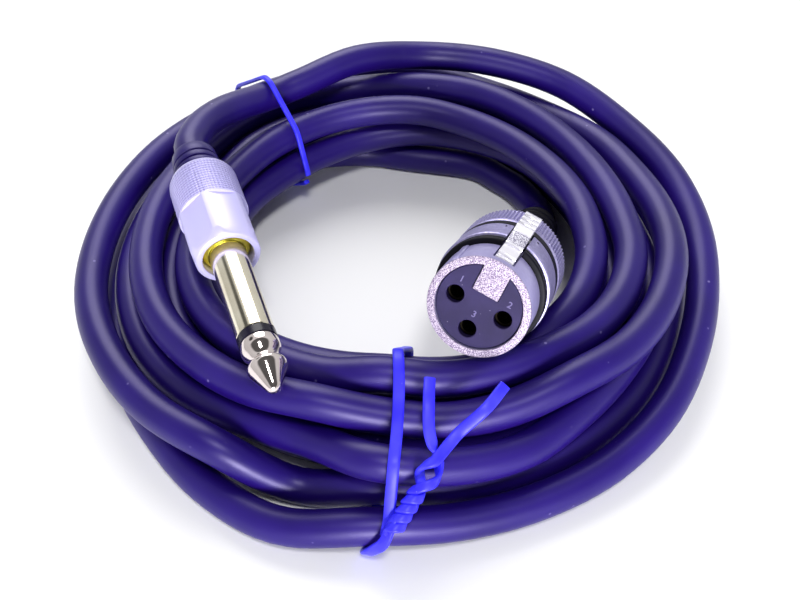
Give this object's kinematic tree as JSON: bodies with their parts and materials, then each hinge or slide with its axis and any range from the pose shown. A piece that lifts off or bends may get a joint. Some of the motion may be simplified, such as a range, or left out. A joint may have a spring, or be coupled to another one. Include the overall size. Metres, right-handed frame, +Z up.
{
  "type": "xlr microphone cable coil",
  "caption": "Coiled microphone cable with a female three-pole audio connector and a mono jack plug, held in a flat coil by plastic coated wire ties.",
  "frame": {"origin": "on the floor under the middle of the bounding box", "axes": "+Z up out of the coil, -Y to the front where the plug's tip and the connector's open end point, +X to the right"},
  "size_m": [0.119, 0.1267, 0.0348],
  "materials": {
    "cable_jacket": "smooth flexible PVC jacket, satin",
    "xlr_rim_metal": "fine grained satin nickel, worn bright at the rim",
    "xlr_body_metal": "satin nickel plated die casting",
    "xlr_insert_plastic": "matt moulded plastic",
    "chuck_plastic": "matt moulded plastic",
    "contact_metal": "plated contact metal",
    "black_rubber": "matt black rubber",
    "black_plastic": "smooth black insulator",
    "spring_steel": "bare spring steel",
    "copper": "tinned copper wire with a thin cover",
    "jack_nickel": "bright nickel plate",
    "jack_gold": "bright yellow plate",
    "jack_satin": "satin pearl plated barrel",
    "tie_plastic": "bright blue plastic coated wire tie"
  },
  "bodies": {
    "cable": {"cable_coil": "cable_jacket", "cable_tail_xlr": "cable_jacket", "cable_tail_jack": "cable_jacket", "xlr_nose_shell": "xlr_rim_metal", "xlr_insert": "xlr_insert_plastic", "xlr_contact_1": "contact_metal", "xlr_contact_2": "contact_metal", "xlr_contact_3": "contact_metal", "xlr_gasket_ring": "black_rubber", "xlr_body_ring": "xlr_body_metal", "xlr_seal_ring": "black_rubber", "xlr_latch_pin": "spring_steel", "xlr_latch_spring": "spring_steel", "xlr_cable_chuck": "chuck_plastic", "xlr_boot": "black_rubber", "xlr_wire_1": "copper", "xlr_wire_2": "copper", "xlr_wire_3": "copper", "jack_tip": "jack_nickel", "jack_insulator_ring": "black_plastic", "jack_sleeve": "jack_nickel", "jack_collar": "jack_gold", "jack_boot": "cable_jacket", "jack_cable_clamp": "jack_nickel", "jack_tip_lug": "contact_metal", "jack_wire": "copper", "tie_front": "tie_plastic", "tie_rear": "tie_plastic"},
    "xlr_nut": {"xlr_rear_nut": "xlr_body_metal"},
    "xlr_latch": {"xlr_latch_lever": "xlr_body_metal"},
    "jack_shell": {"jack_barrel": "jack_satin"}
  },
  "joints": [
    {"name": "xlr_latch_press", "type": "hinge", "parent": "cable", "child": "xlr_latch", "pos_m": [0.01934, -0.01901, 0.02842], "axis": [0.8654, -0.4266, -0.2629], "range_deg": [-2.5, 0], "stiffness_Nm_per_rad": 0.3, "springref_deg": 2.86},
    {"name": "xlr_nut_turn", "type": "hinge", "parent": "cable", "child": "xlr_nut", "pos_m": [0.01834, -0.01465, 0.01803], "axis": [-0.2962, -0.8586, 0.4183], "continuous": true},
    {"name": "jack_shell_turn", "type": "hinge", "parent": "cable", "child": "jack_shell", "pos_m": [-0.0323, -0.00898, 0.02395], "axis": [0.3395, -0.9395, -0.0451], "continuous": true}
  ]
}
